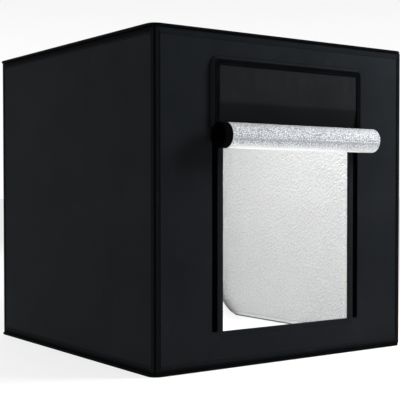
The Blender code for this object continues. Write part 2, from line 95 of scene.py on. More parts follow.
# Steps of the grids, and the levels of the board's cover under its outer face
row_step = 0.006
cover_step = 0.012
foil_step = 0.008
edge_step = 0.00025
cover_level = 0.00045
flush_level = 0.00005
foil_hem = 0.009

# Hook tape
slab_corner = 0.003
hook_ground = 0.0009
hook_spacing = 0.00155
hook_reach = 0.0009
hook_stem = 0.00016

# Where the roll is pressed: in turns on the roll, and in metres along the cloth
crease_turn = 0.470
pressed_line = 0.2015

# Holes round the cable port's neck and flange
neck_hole = 0.0083
flange_hole = 0.0113


def paint(red, green=None, blue=None):
    """A colour, or a grey when only one number is given."""
    return (red, green or red, blue or red, 1.0)


def both_ways(operation):
    """An operator and its reflection, each of which adds one Math node."""
    def plain(value, other):
        return value.work(operation, value, other)

    def reflected(value, other):
        return value.work(operation, other, value)

    return plain, reflected


class Value:
    """A number, colour or direction on its way through a finish, with sums written as Python."""

    def __init__(self, finish, socket):
        self.finish = finish
        self.socket = socket

    def work(self, operation, *terms):
        return self.finish.node("ShaderNodeMath", {"operation": operation}, dict(enumerate(terms)))

    __add__, __radd__ = both_ways("ADD")
    __sub__, __rsub__ = both_ways("SUBTRACT")
    __mul__, __rmul__ = both_ways("MULTIPLY")
    __gt__ = both_ways("GREATER_THAN")[0]
    __lt__ = both_ways("LESS_THAN")[0]
    most = both_ways("MAXIMUM")[0]

    def size(self):
        return self.work("ABSOLUTE", self)

    def wave(self, length, shift=0.0):
        """An even wave of a given length, from -1 to 1."""
        return self.work("SINE", self * (2 * math.pi / length) + shift)

    def step(self, low, high, first=0.0, last=1.0):
        """Runs smoothly from first to last while the value runs from low to high."""
        return self.finish.node(
            "ShaderNodeMapRange", {"interpolation_type": "SMOOTHSTEP"},
            {"Value": self, "From Min": low, "From Max": high, "To Min": first, "To Max": last},
        )


class Finish:
    """The nodes of a new material, or of the surround, under construction."""

    def __init__(self, name, owner=None):
        self.owner = owner or bpy.data.materials.new(name)
        self.owner.use_nodes = True
        self.tree = self.owner.node_tree
        self.tree.nodes.clear()

    def node(self, kind, settings=None, inputs=None, output=0):
        """Any node: its settings first, then the values or links of its sockets."""
        made = self.tree.nodes.new(kind)
        for name, setting in (settings or {}).items():
            setattr(made, name, setting)
        for name, value in (inputs or {}).items():
            if isinstance(value, Value):
                self.tree.links.new(value.socket, made.inputs[name])
            else:
                made.inputs[name].default_value = value
        return Value(self, made.outputs[output]) if made.outputs else None

    @cached_property
    def place(self):
        """The place on the piece, in its own frame."""
        return self.node("ShaderNodeTexCoord", output="Object")

    @cached_property
    def run(self):
        """How far along and across a strip the place lies, in metres."""
        return self.parts(self.node("ShaderNodeUVMap", {"uv_map": "run"}))

    def parts(self, vector):
        """The three parts of a vector."""
        split = self.node("ShaderNodeSeparateXYZ", {}, {"Vector": vector})
        return tuple(Value(self, socket) for socket in split.socket.node.outputs)

    def vector(self, x, y, z):
        return self.node("ShaderNodeCombineXYZ", {}, {"X": x, "Y": y, "Z": z})

    def noise(self, length, detail=2.0, roughness=0.5, vector=None):
        return self.node("ShaderNodeTexNoise", {}, {
            "Vector": vector or self.place, "Scale": 1 / length,
            "Detail": detail, "Roughness": roughness,
        })

    def cells(self, length, feature, vector):
        inputs = {"Vector": vector, "Scale": 1 / length}
        return self.node("ShaderNodeTexVoronoi", {"feature": feature}, inputs, "Distance")

    def mix(self, share, first, second):
        """A colour between two colours."""
        inputs = {0: share, 6: first, 7: second}
        return self.node("ShaderNodeMix", {"data_type": "RGBA"}, inputs, 2)

    def surface(self, colour, roughness, relief, shine=0.5, metal=0.0, glow=paint(1), power=0.0):
        """Closes the finish with one shader. The relief is a height, how deep it is in metres and
        its strength."""
        height, depth, strength = relief
        bump = {"Height": height, "Distance": depth, "Strength": strength}
        shader = self.node("ShaderNodeBsdfPrincipled", {}, {
            "Base Color": colour, "Roughness": roughness,
            "Normal": self.node("ShaderNodeBump", {}, bump, "Normal"), "Specular IOR Level": shine,
            "Metallic": metal, "Emission Color": glow, "Emission Strength": power,
        })
        self.node("ShaderNodeOutputMaterial", {}, {"Surface": shader})
        return self.owner


def coated_cloth(name, dark, light, roughness, darker=()):
    """Black nylon cloth with a dull coating: a fine weave, a faint mottle and rubbed spots. Each
    darker stretch of painted shade is given by the way that it lies, 0 along or 1 across the run,
    by its start and its end, and by its share of the full tone."""
    finish = Finish(name)
    x, _, z = finish.parts(finish.place)
    weave = x.wave(0.0011) * z.wave(0.0011)
    mottle = finish.noise(0.11, 3.0)
    grain = finish.noise(0.0021, 3.0, 0.6)
    rubbed = finish.noise(0.022, 4.0, 0.65).step(0.58, 0.80)
    shade = mottle * 0.55 + grain * 0.30 + weave * 0.06 + rubbed * 0.35
    colour = finish.mix(shade.step(0.15, 0.95), dark, light)
    # Painted shade: each darker stretch mixes the colour towards black
    for way, start, end, share in darker:
        stretch = finish.run[way].step(start, end, 0.0, 1.0 - share)
        colour = finish.mix(stretch, colour, paint(0))
    return finish.surface(
        colour, (1 - rubbed) * 0.10 + grain * 0.10 + (roughness - 0.10),
        (weave * 0.35 + grain * 0.9 + mottle * 0.8, 0.00016, 0.7), shine=0.03,
    )


def ribbed_tape(name, dark, light, edge, wall=None):
    """Folded binding tape: close ribs across its run, a soft nap, and a darker free edge, partly
    its fold under and partly painted shade. On a wall it is darker on the upright edges, and
    painted shade darkens it most where it turns round the rim, and along its bottom and top rims."""
    finish = Finish(name)
    along, across, _ = finish.run
    x, _, z = finish.parts(finish.place)
    ribs = along.wave(0.00115)
    nap = finish.noise(0.0016, 3.0, 0.6)
    wear = finish.noise(0.035, 3.0, 0.6).step(0.52, 0.80)
    colour = finish.mix((ribs * 0.10 + nap * 0.55 + wear * 0.45).step(0.10, 1.0), dark, light)
    if wall:
        side = wall.width / 2
        # Painted shade along the top rim: a thin band on the front, and a wider band on the other
        # walls, under the roof's edge
        top = wall.height - (0.0040 if wall.name == "front" else 0.0105)
        # hinge: darker on the upright edges; turned: painted shade where the tape turns round the
        # corner; rim: painted shade along the bottom and top rims
        hinge = x.size().step(side - wall_lap - 0.0004, side - wall_lap + 0.0004)
        turned = x.size().step(side - 0.0045, side - 0.0025)
        rim = z.step(0.0035, 0.0085, 1.0, 0.0).most(z.step(top, top + 0.0030))
        colour = finish.mix((hinge * 0.45).most(turned * 0.90).most(rim * 0.75), colour, edge)
        # Darker free edge, partly its fold and partly painted shade; on a wall only on the upright
        # edges
        folded = across.step(0.0036, 0.0048, 1.0, 0.0) * hinge
    else:
        folded = across.step(0.0010, 0.0018, 1.0, 0.0)
    height = ribs * 0.5 + across.wave(0.0007) * 0.25 + nap * 0.7
    return finish.surface(
        finish.mix(folded, colour, edge), nap * 0.15 + 0.72, (height, 0.00022, 0.8),
        shine=0.025,
    )


def sewing_thread(name):
    """Black polyester thread, twisted from three strands."""
    finish = Finish(name)
    strands = finish.noise(0.0009, 2.0)
    dark, light = paint(0.0055, 0.0065, 0.0078), paint(0.0130, 0.0145, 0.0160)
    return finish.surface(
        finish.mix(strands, dark, light), strands * 0.2 + 0.60, (strands, 0.0001, 0.6),
        shine=0.04,
    )


def hammered_foil(name):
    """Silver film laminated on the boards, embossed all over with small hammered dents. Along its
    edges runs a smooth, brighter hem that ends in a thin dark line of painted shadow."""
    finish = Finish(name)
    edge = finish.run[1]
    field = edge.step(foil_hem * 0.85, foil_hem * 1.10)
    drift = finish.noise(0.090, 2.0)
    x, y, z = finish.parts(finish.place)
    drawn = finish.vector((z * 0.74 - x * 0.67) * 0.5, y * 0.5, x * 0.74 + z * 0.67)
    lumps = finish.noise(0.0030, 1.0, 0.4, drawn)
    dents = finish.cells(0.0036, "SMOOTH_F1", drawn)
    grain = finish.noise(0.0011, 2.0)
    shade = (lumps.step(0.30, 0.70) * 0.5 + grain * 0.2 + drift * 0.3) * field + (1 - field)
    colour = finish.mix(shade, paint(0.54, 0.545, 0.55), paint(0.725, 0.73, 0.735))
    # Painted shadow: a dark line along the lining's edge, where it meets the surface beside it
    edge_gap_shadow = edge.step(0.0010, 0.0022, 1.0, 0.0) * 0.85
    return finish.surface(
        finish.mix(edge_gap_shadow, colour, paint(0.060, 0.060, 0.065)),
        grain * 0.10 + drift * 0.06 + 0.42,
        ((lumps + dents * 0.7) * field + grain * 0.02, 0.0042, 1.0), metal=0.50,
    )


def crinkled_foil(name):
    """The silver back of the door cloth, crushed into fine creases by rolling. Painted light
    brightens the roll's underside, and a dark line of painted shade runs along its front over the
    pressed crease."""
    finish = Finish(name)
    along = finish.run[0]
    x, y, z = finish.parts(finish.place)
    drawn = finish.vector(x * 0.7 + z * 0.4, y, z)
    creases = finish.cells(0.0032, "DISTANCE_TO_EDGE", drawn).step(0.0, 0.30)
    facets = finish.cells(0.0024, "SMOOTH_F1", drawn)
    fine = finish.noise(0.0014, 3.0, 0.7)
    shade = (creases * 0.55 + fine * 0.40 + facets * 0.25).step(0.30, 0.75)
    # Painted shade: a dark line along the pressed crease
    pressed = (along - pressed_line).size().step(0.0006, 0.0042, 1.0, 0.0)
    # Painted light: the roll's underside is brightened and made less metallic
    under = along.step(pressed_line - 0.023, pressed_line - 0.003, 1.0, 0.0)
    colour = finish.mix(shade, paint(0.25, 0.27, 0.30), paint(0.69, 0.71, 0.735))
    colour = finish.mix(under * 0.85, colour, paint(0.985))
    return finish.surface(
        finish.mix(pressed * 0.55, colour, paint(0.25, 0.26, 0.28)), fine * 0.20 + 0.26,
        (creases * 0.5 + facets * 0.9 + fine * 0.35, 0.0008, 1.0), metal=0.50 - under * 0.20,
    )


def white_sheet(name):
    """The smooth white backdrop: matt film with a very fine grain and faint rubbed patches."""
    finish = Finish(name)
    grain = finish.noise(0.0012, 3.0, 0.6)
    cloud = finish.noise(0.12, 3.0, 0.5)
    scuff = finish.noise(0.016, 5.0, 0.7).step(0.62, 0.85)
    shade = (cloud * 0.6 + grain * 0.2 + scuff * 0.4).step(0.2, 1.0)
    return finish.surface(
        finish.mix(shade, paint(0.962, 0.962, 0.960), paint(0.935, 0.936, 0.935)),
        grain * 0.15 + scuff * 0.15 + 0.42, (grain, 0.00005, 0.5), shine=0.35,
    )


def hook_tape(name):
    """Moulded nylon hook tape, all black, with a faint nap."""
    finish = Finish(name)
    nap = finish.noise(0.0007, 3.0, 0.7)
    lint = finish.noise(0.012, 5.0, 0.75).step(0.66, 0.80)
    shade = (nap * 0.6 + lint * 0.5).step(0.2, 1.0)
    return finish.surface(
        finish.mix(shade, paint(0.0002), paint(0.0012, 0.0012, 0.0014)), nap * 0.2 + 0.78,
        (nap, 0.0004, 1.0), shine=0.005,
    )


def brushed_metal(name):
    """Drawn aluminium with fine lines along the bar."""
    finish = Finish(name)
    x, y, z = finish.parts(finish.place)
    lines = finish.noise(0.0006, 3.0, 0.7, finish.vector(x * 0.02, y, z))
    stain = finish.noise(0.05, 3.0)
    shade = lines * 0.6 + stain * 0.4
    return finish.surface(
        finish.mix(shade, paint(0.55, 0.56, 0.57), paint(0.78, 0.79, 0.80)),
        lines * 0.22 + stain * 0.10 + 0.22, (lines, 0.00008, 0.5), metal=1.0,
    )


def lamp_board(name, face, middle, spacing):
    """White-lacquered board: warm yellow chips under it, solder pads and copper lines on it."""
    finish = Finish(name)
    x, y, z = finish.parts(finish.place)
    chip = z < face - 0.0003
    sheen = finish.noise(0.004, 3.0)
    off_middle = (y - middle).size()
    pads = (x.wave(spacing * 2, math.pi / 2) > 0.93) * (off_middle > 0.0060)
    lines = (off_middle - 0.0048).size() < 0.0002
    colour = finish.mix(sheen, paint(0.80, 0.80, 0.77), paint(0.87, 0.87, 0.84))
    colour = finish.mix(lines, colour, paint(0.66, 0.68, 0.62))
    colour = finish.mix(pads, colour, paint(0.62, 0.58, 0.48))
    colour = finish.mix(chip, colour, paint(0.90, 0.78, 0.35))
    return finish.surface(
        colour, sheen * 0.15 + 0.38, (sheen + chip * 0.4, 0.00003, 0.4),
        glow=finish.mix(chip, paint(0), paint(1.0, 0.97, 0.90)), power=6.0,
    )


def moulded(name, dark, light, roughness):
    """Moulded plastic or rubber with a fine eroded grain."""
    finish = Finish(name)
    grain = finish.noise(0.0011, 3.0, 0.6)
    patch = finish.noise(0.012, 3.0, 0.6)
    return finish.surface(
        finish.mix(grain * 0.5 + patch * 0.5, dark, light),
        grain * 0.18 + patch * 0.08 + (roughness - 0.12), (grain, 0.00006, 0.8),
        shine=0.35,
    )


def put(name, data):
    """A new object in the scene."""
    made = bpy.data.objects.new(name, data)
    bpy.context.scene.collection.objects.link(made)
    return made


board_tones = paint(0.0050, 0.0061, 0.0074), paint(0.0110, 0.0123, 0.0141)
# The tapes' darker tone: free edges (partly fold, partly painted shade), the walls' upright edges,
# and painted shade at the walls' corners and rims
tape_edge = paint(0.0010, 0.0012, 0.0014)
board_cloth = coated_cloth("black_coated_cloth", *board_tones, 0.62)
# The border's skirt: painted contact shadow along its foot, where it meets the wall
border_cloth = coated_cloth("black_border_cloth", *board_tones, 0.62, ((1, 0.0022, 0.0008, 0.1),))
# The door cloth: painted shade darkens it just above the roll, and much more where it bends out
# into the roll
door_cloth = coated_cloth(
    "black_door_cloth", paint(0.0058, 0.0064, 0.0074), paint(0.0112, 0.0120, 0.0132), 0.55,
    ((0, 0.070, 0.080, 0.55), (0, 0.105, 0.120, 0.12)),
)
hem_cloth = coated_cloth(
    "black_hem_cloth", paint(0.0002, 0.0002, 0.0003), paint(0.0014, 0.0015, 0.0017), 0.80
)
plate_tape_finish = ribbed_tape(
    "black_plate_tape", paint(0.0014, 0.0017, 0.0020), paint(0.0050, 0.0055, 0.0062), tape_edge
)
# Its last colour is the darker free edge, partly fold and partly painted shade
border_tape = ribbed_tape(
    "black_border_tape", paint(0.0006, 0.0007, 0.0009), paint(0.0036, 0.0040, 0.0046),
    paint(0.0004, 0.0005, 0.0006),
)
thread = sewing_thread("black_thread")
wall_foil = hammered_foil("hammered_silver_lining")
door_foil = crinkled_foil("crinkled_silver_lining")
sheet_film = white_sheet("white_backdrop_film")
hook_finish = hook_tape("black_hook_tape")
bar_metal = brushed_metal("brushed_aluminium")
cap_plastic = moulded("white_cap_plastic", paint(0.72, 0.72, 0.71), paint(0.84, 0.84, 0.83), 0.50)
inlet_plastic = moulded("black_inlet_plastic", paint(0.006), paint(0.020), 0.40)
port_rubber = moulded("black_port_rubber", paint(0.006), paint(0.022), 0.72)


class Swell:
    """A fixed irregular height over two coordinates, of about -1 to 1, from many long waves."""

    def __init__(self, seed, length, stretch=1.0):
        chance = np.random.default_rng(seed)
        angle = chance.uniform(0, 2 * math.pi, 16)
        number = 2 * math.pi / (length * chance.uniform(0.6, 1.7, 16))
        shift = chance.uniform(0, 2 * math.pi, 16)
        self.waves = list(zip(np.cos(angle) * number, np.sin(angle) * number * stretch, shift))

    def __call__(self, first, second):
        return sum(np.sin(a * first + b * second + shift) for a, b, shift in self.waves) / 5.0


def ease(value, low, high):
    """0 below low, 1 above high, smooth between."""
    share = np.clip((value - low) / (high - low), 0, 1)
    return share * share * (3 - 2 * share)


def arc(centre, radius, start, end, steps):
    """Points on an arc between two angles in degrees."""
    angle = np.radians(np.linspace(start, end, steps + 1))
    return np.stack((centre[0] + radius * np.cos(angle), centre[1] + radius * np.sin(angle)), -1)


def mirrored(half, low, high):
    """A profile from its first half, and the half's mirror image between two depths."""
    return np.concatenate((half, (half * (1, -1) + (0, low + high))[::-1]))


def reach(points):
    """How far along a path each of its points lies."""
    return np.append(0.0, np.cumsum(np.linalg.norm(np.diff(points, axis=0), axis=-1)))


def stops(low, high, step, extra=()):
    """Even stops between two ends, with some that have to be there."""
    marks = [low, *sorted(value for value in extra if low < value < high), high]
    places = [low]
    for first, last in zip(marks, marks[1:]):
        count = max(math.ceil((last - first) / step), 1)
        places += [first + (last - first) * number / count for number in range(1, count + 1)]
    return np.array(places)


def spread(*coordinates):
    """Points from their coordinates, each a number or an array."""
    return np.stack(np.broadcast_arrays(*coordinates), -1)


def band(first, second):
    """Faces between two rings of point numbers, each closed on itself."""
    return np.stack((first, np.roll(first, -1, -1), np.roll(second, -1, -1), second), -1)


def fan(middle, ring):
    """Faces between one point number and a ring of them."""
    return np.stack((np.full(len(ring), middle), ring, np.roll(ring, -1)), -1)


def repeated(faces, count):
    """The same faces over each of many small forms that have ten points each."""
    return (np.arange(count)[:, None, None] * 10 + faces).reshape(-1, faces.shape[-1])


def settle(piece, body, slot, *nodes):
    """Hangs a piece on its body, and lets it stand for the solids that it replaces."""
    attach(piece, body)
    if nodes:
        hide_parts(*nodes)


class Skin:
    """Points, faces and the run at each face corner, gathered for one piece."""

    def __init__(self):
        self.points, self.faces, self.runs = [], [], []

    def add(self, points, faces, runs=None):
        """Adds points, and faces over them that all have the same number of corners."""
        self.points.append(np.reshape(points, (-1, 3)))
        return self.more(faces, runs)

    def more(self, faces, runs=None):
        """Adds faces over the points of the last addition."""
        self.faces.append(faces + sum(map(len, self.points[:-1])))
        self.runs.append(np.zeros((*faces.shape, 2)) if runs is None else runs)
        return self

    def loft(self, loops, closed=False):
        """The skin over a row of like outlines. In an open row the two ends are closed by strips,
        between each point of the outline's first half and its opposite in the second half."""
        loops = np.asarray(loops)
        rows, sides, _ = loops.shape
        steps = np.linalg.norm(np.diff(loops, axis=0, append=loops[:1]), axis=2).mean(1)
        around = np.linalg.norm(np.diff(loops, axis=1, append=loops[:, :1]), axis=2).mean(0)
        along = np.append(0.0, np.cumsum(steps))[np.arange(rows)[:, None, None] + (0, 0, 1, 1)]
        across = np.append(0.0, np.cumsum(around))[np.arange(sides)[:, None] + (0, 1, 1, 0)]
        number = np.arange(rows * sides).reshape(rows, sides)
        last = rows if closed else rows - 1
        faces = band(number, np.roll(number, -1, 0))[:last].reshape(-1, 4)
        self.add(loops, faces, spread(along, across)[:last].reshape(-1, 4, 2))
        if not closed:
            near = np.arange(sides // 2)
            far = sides - 1 - near
            end = np.stack((near[:-1], far[:-1], far[1:], near[1:]), -1)
            self.more(np.concatenate((end, (rows - 1) * sides + end[:, ::-1])))
        return self

    def piece(self, name, finish, place, slot=None, *nodes, sharp=40):
        """Turns the skin into a smooth-shaded piece with its outside facing out, in the frame and
        on the body of its place."""
        points = np.concatenate(self.points)
        volume = 0.0
        for faces in self.faces:
            for turn in range(2, faces.shape[1]):
                first, second, third = (points[faces[:, corner]] for corner in (0, turn - 1, turn))
                volume += (first * np.cross(second, third)).sum()
        order = slice(None, None, -1 if volume < 0 else 1)
        faces = [corners for group in self.faces for corners in group[:, order].tolist()]
        runs = np.concatenate([run[:, order].reshape(-1, 2) for run in self.runs])
        mesh = bpy.data.meshes.new(name)
        mesh.from_pydata(points.tolist(), [], faces)
        mesh.uv_layers.new(name="run").data.foreach_set("uv", runs.astype(np.float32).ravel())
        mesh.materials.append(finish)
        mesh.shade_smooth()
        mesh.set_sharp_from_angle(angle=math.radians(sharp))
        piece = put(name, mesh)
        piece.matrix_world = place.frame
        if slot:
            settle(piece, place.body, slot, *nodes)
        return piece


Place = namedtuple("Place", "frame body")


class Panel:
    """One panel of the tent: its frame, with x across, y inward from its outer face and z up from
    its lower edge, and its width, height and thickness."""

    def __init__(self, name, body, inward, up):
        low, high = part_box(name + "_board")
        inward, up = Vector(inward), Vector(up)
        across = inward.cross(up)
        size = high - low
        self.name = name
        self.body = body
        self.width = abs(size.dot(across)) + 2 * (mitre_set_in if up.z else cover)
        self.height = abs(size.dot(up)) + 2 * cover
        self.thickness = abs(size.dot(inward)) + 2 * cover
        self.frame = Matrix((across, inward, up)).transposed().to_4x4()
        corner = (low + high) / 2 - inward * self.thickness / 2 - up * self.height / 2
        self.frame.translation = corner

    def box(self, node):
        """The lowest and highest corner of a solid's box, in the panel's own frame."""
        corners = np.array([self.frame.inverted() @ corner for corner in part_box(node)])
        return corners.min(0), corners.max(0)


def stitches(name, place, paths, closed=False, finish=thread, slot="binding_tape"):
    """Rows of stitches on a face towards -y, along paths of points. Each stitch is a short thread
    that dips in at its ends."""
    skin = Skin()
    first, last = np.arange(1, 5), np.arange(5, 9)
    rings = (-0.5, -0.9, 0), (-0.27, 0.35, 4), (0.27, 0.35, 4), (0.5, -0.9, 0)
    for path in paths:
        path = np.concatenate((path, path[:1])) if closed else np.array(path)
        places = reach(path)
        count = max(int(places[-1] / stitch_pitch), 1)
        middles = (np.arange(count) + 0.5) * places[-1] / count
        leg = np.clip(np.searchsorted(places, middles, side="right") - 1, 0, len(path) - 2)
        way = (np.diff(path, axis=0) / np.maximum(np.diff(places), 1e-9)[:, None])[leg]
        centre = path[leg] + way * (middles - places[leg])[:, None]
        outward = np.broadcast_to((0.0, -1.0, 0.0), centre.shape)
        sideways = np.cross(way, outward)
        points = []
        for share, lift, sides in rings:
            spot = centre + way * (share * stitch_length) + outward * (lift * thread_radius)
            for turn in np.radians(np.arange(sides) * 90.0):
                lean = outward * math.cos(turn) * 0.8 + sideways * math.sin(turn)
                points.append(spot + lean * thread_radius)
            if not sides:
                points.append(spot)
        tips = np.concatenate((fan(0, first)[:, ::-1], fan(9, last)))
        skin.add(np.stack(points, 1), repeated(tips, count))
        skin.more(repeated(band(first, last), count))
    skin.piece(name, finish, place, slot)


def rectangle(half, low, high):
    """A seam's path round a rectangle."""
    corners = (-half, low), (half, low), (half, high), (-half, high)
    return [(x, seam_level, z) for x, z in corners]


def fold_profile(thickness, lap, inner_lap, pocket, rim):
    """The U of a folded tape round an edge, as (inset, depth) points: its outer face from the
    rounded free edge to the rim, its inner face back to the other free edge, and the inside of the
    fold."""
    half = tape / 2
    seam, inner_seam = lap - seam_inset, inner_lap - seam_inset
    start, end = rim[0][0], rim[-1][0]
    return np.concatenate((
        arc((lap - half, half), half, 90, -90, 3),
        [(seam + (start - seam) * share, 0.0) for share in (0.0, 0.4, 0.75)],
        rim,
        [(end + (inner_seam - end) * share, thickness) for share in (0.3, 0.65, 1.0)],
        arc((inner_lap - half, thickness - half), half, 90, -90, 3),
        [(pocket, thickness - tape), (pocket, tape)],
    ))


def sewn_edge(profile, seed):
    """How a tape's profile strays along its run: a puffed face, a pressed seam, an uneven lap."""
    inset, depth = profile.T
    near = depth <= tape
    lap = inset[near].max()
    edge = np.where(near & (inset > lap - 0.0015), tape_stray, 0.0)
    middle = (inset < lap - seam_inset * 1.01) & (inset > lap - wall_lap + 0.0035)
    face = np.where((depth <= 0) & middle, -1.0, 0.0)
    return Swell(seed, 0.060), Swell(seed + 1, 0.120), face, edge


def square_tape(width, height, upright, end, middle, seed):
    """Tape round a rectangle, mitred at its corners. Insets run from its edge to its middle."""
    x, z = width / 2 - upright[:, 0], height / 2 - end[:, 0]
    corners = [
        spread(side * x, upright[:, 1], middle + rise * z)
        for side, rise in ((-1, -1), (1, -1), (1, 1), (-1, 1))
    ]
    puff, stray, face, edge = sewn_edge(upright, seed)
    rows = []
    for index, corner in enumerate(corners):
        following = corners[(index + 1) % 4]
        axis = 2 * (index % 2)
        other = 2 - axis
        count = max(round((height if axis else width) / row_step), 2)
        for share in np.arange(count) / count:
            loop = corner + (following - corner) * share
            along = loop[:, axis] + 3.1 * index
            calm = min(ease(share, 0, 0.06), ease(1 - share, 0, 0.06))
            loop[:, 1] += face * (tape_puff + 0.00012 * puff(along, loop[:, other])) * calm
            loop[:, other] += edge * stray(along, 0.0) * calm
            rows.append(loop)
    return Skin().loft(rows, closed=True)


def wall_tape(panel, seed):
    """The tape round a wall, mitred on its upright edges, with its seam on the outer face."""
    thickness = panel.thickness
    mitre = gap / 2 * math.sqrt(2)
    tip = wall_rim / math.tan(math.radians(22.5))
    rim = np.concatenate((
        arc((mitre + tip, wall_rim), wall_rim, -90, -225, 6),
        [(mitre + thickness * share, thickness * share) for share in (0.75, 1.0)],
    ))
    depth = rim[:, 1]
    rise = np.maximum(wall_end_rim - depth, 0) + np.maximum(wall_end_rim - (thickness - depth), 0)
    end_rim = spread(wall_end_rim - np.sqrt(wall_end_rim ** 2 - rise ** 2), depth)
    upright = fold_profile(thickness, wall_lap, inner_lap, mitre_set_in - gap, rim)
    end = fold_profile(thickness, wall_lap, inner_lap, cover - gap, end_rim)
    finish = ribbed_tape(f"black_{panel.name}_tape", *board_tones, tape_edge, panel)
    skin = square_tape(panel.width, panel.height, upright, end, panel.height / 2, seed)
    skin.piece(panel.name + "_tape", finish, panel, "binding_tape", panel.name + "_binding")
    seam = wall_lap - seam_inset
    path = rectangle(panel.width / 2 - seam, seam, panel.height - seam)
    stitches(panel.name + "_stitches", panel, [path], closed=True)


def window_edge(panel):
    """The tape round the window's edge, with its seam on the outer face. Gives the holes in the
    board's cover and in the lining, as (low x, high x, low z, high z)."""
    (first_x, _, first_z), (last_x, _, last_z) = panel.box("window_binding")
    width = last_x - first_x - 2 * window_lap
    height = last_z - first_z - 2 * window_lap
    middle = (first_z + last_z) / 2
    thickness = panel.thickness
    half, seam = tape / 2, window_lap - seam_inset
    outside = mirrored(np.concatenate((
        arc((-window_lap + half, half), half, 90, 270, 3), [(-seam, 0.0), (-window_lap / 2, 0.0)],
        arc((-window_rim, window_rim), window_rim, -90, 0, 4),
    )), 0, thickness)
    profile = np.concatenate((outside, [(-tape, thickness - tape), (-tape, tape)]))
    skin = square_tape(width, height, profile, profile, middle, 61)
    skin.piece("window_tape", board_cloth, panel, "binding_tape", "window_binding")
    up = height / 2 + seam
    path = rectangle(width / 2 + seam, middle - up, middle + up)
    stitches("window_stitches", panel, [path], closed=True)
    holes = []
    for edge in (tape + gap, lining_set_in):
        side, up = width / 2 + edge, height / 2 + edge
        holes.append((-side, side, middle - up, middle + up))
    return holes


def corner_stations(centre, radius, start, end, steps):
    """Stations round a corner, as (x, z, outward x, outward z)."""
    out = arc((0, 0), 1, start, end, steps)
    return np.hstack((centre + radius * out, out))


def round_stations(width, height, radius):
    """Stations round a rectangle with round corners."""
    stations = []
    for quarter, (side, rise) in enumerate(((1, 1), (-1, 1), (-1, -1), (1, -1))):
        centre = (side * (width / 2 - radius), height / 2 + rise * (height / 2 - radius))
        corner = corner_stations(centre, radius, 90 * quarter, 90 * quarter + 90, 8)
        straight = (height if quarter % 2 else width) - 2 * radius
        count = max(round(straight / row_step), 2)
        x, z, out_x, out_z = corner[-1]
        ahead = straight * np.arange(1, count) / count
        stations += [corner, spread(x - out_z * ahead, z + out_x * ahead, out_x, out_z)]
    return np.concatenate(stations)


def beside(stations, inset, depth):
    """The points at an inset from the stations of a route, at a depth."""
    x, z, out_x, out_z = np.moveaxis(stations, -1, 0)
    return spread(x - out_x * inset, depth, z - out_z * inset)


def plate_tape(panel, seed):
    """The tape round the roof or the bottom, with round corners and its seam on the outer face. The
    bottom's lies flat on the table, with its stitches sunk in."""
    lies = panel.name == "bottom"
    thickness = panel.thickness
    rim = mirrored(arc((plate_rim, plate_rim), plate_rim, -90, -180, 4), 0, thickness)
    profile = fold_profile(thickness, plate_lap, plate_lap, cover - gap, rim)
    puff, stray, face, edge = sewn_edge(profile, seed)
    stations = round_stations(panel.width, panel.height, plate_corner)
    along = row_step * np.arange(len(stations))[:, None]
    inset = profile[:, 0] + edge * stray(along, 0.0)
    bulge = 0 if lies else face * (tape_puff + 0.00010 * puff(along, inset))
    skin = Skin().loft(beside(stations[:, None], inset, profile[:, 1] + bulge), closed=True)
    skin.piece(
        panel.name + "_tape", plate_tape_finish, panel, "binding_tape", panel.name + "_binding"
    )
    path = beside(stations, plate_lap - seam_inset, sunk_level if lies else seam_level)
    stitches(panel.name + "_stitches", panel, [path], closed=True)


def from_opening(grid_x, grid_z, opening):
    """How far the places of a grid lie outside a rectangular opening."""
    out_x = np.maximum(opening[0] - grid_x, grid_x - opening[1])
    out_z = np.maximum(opening[2] - grid_z, grid_z - opening[3])
    return np.maximum(out_x, out_z)


def panel_grid(box, step, insets, opening, outsets):
    """A grid over (low x, high x, low z, high z), with lines at insets from its ends and at outsets
    from the opening."""
    lines = []
    for index in (0, 2):
        low, high = box[index:index + 2]
        extra = [place for inset in insets for place in (low + inset, high - inset)]
        if opening:
            first, last = opening[index:index + 2]
            extra += [place for outset in outsets for place in (first - outset, last + outset)]
        lines.append(stops(low, high, step, extra))
    return np.meshgrid(*lines, indexing="ij")


def thin_panel(grid_x, grid_z, near, far, opening=None, edge=None):
    """A thin panel between two depths over a grid, with a rectangular opening left out of it. Its
    run is its x and z, or its x and the distance from its edge."""
    wide, high = grid_x.shape
    points = np.concatenate([spread(grid_x, depth, grid_z).reshape(-1, 3) for depth in (near, far)])
    keep = np.ones((wide - 1, high - 1), bool)
    if opening:
        middles = ((grid[1:, 1:] + grid[:-1, :-1]) / 2 for grid in (grid_x, grid_z))
        keep = from_opening(*middles, opening) >= 0
    number = np.arange(wide * high).reshape(wide, high)
    a, b, c, d = number[:-1, :-1], number[1:, :-1], number[1:, 1:], number[:-1, 1:]
    front = np.stack((a, b, c, d), -1)[keep]
    back = front[:, ::-1] + wide * high
    padded = np.pad(keep, 1)
    rims = []
    for aside, above, first, last in ((-1, 0, d, a), (1, 0, b, c), (0, -1, a, b), (0, 1, c, d)):
        neighbour = padded[1 + aside:wide + aside, 1 + above:high + above]
        start, end = (corner[keep & ~neighbour] for corner in (first, last))
        rims.append(np.stack((start, start + wide * high, end + wide * high, end), -1))
    faces = np.concatenate((front, back, *rims))
    used, renumbered = np.unique(faces, return_inverse=True)
    flat = points[:, [0, 2]]
    if edge is not None:
        flat[:, 1] = np.tile(edge.ravel(), 2)
    return Skin().add(points[used], renumbered.reshape(faces.shape), flat[faces])


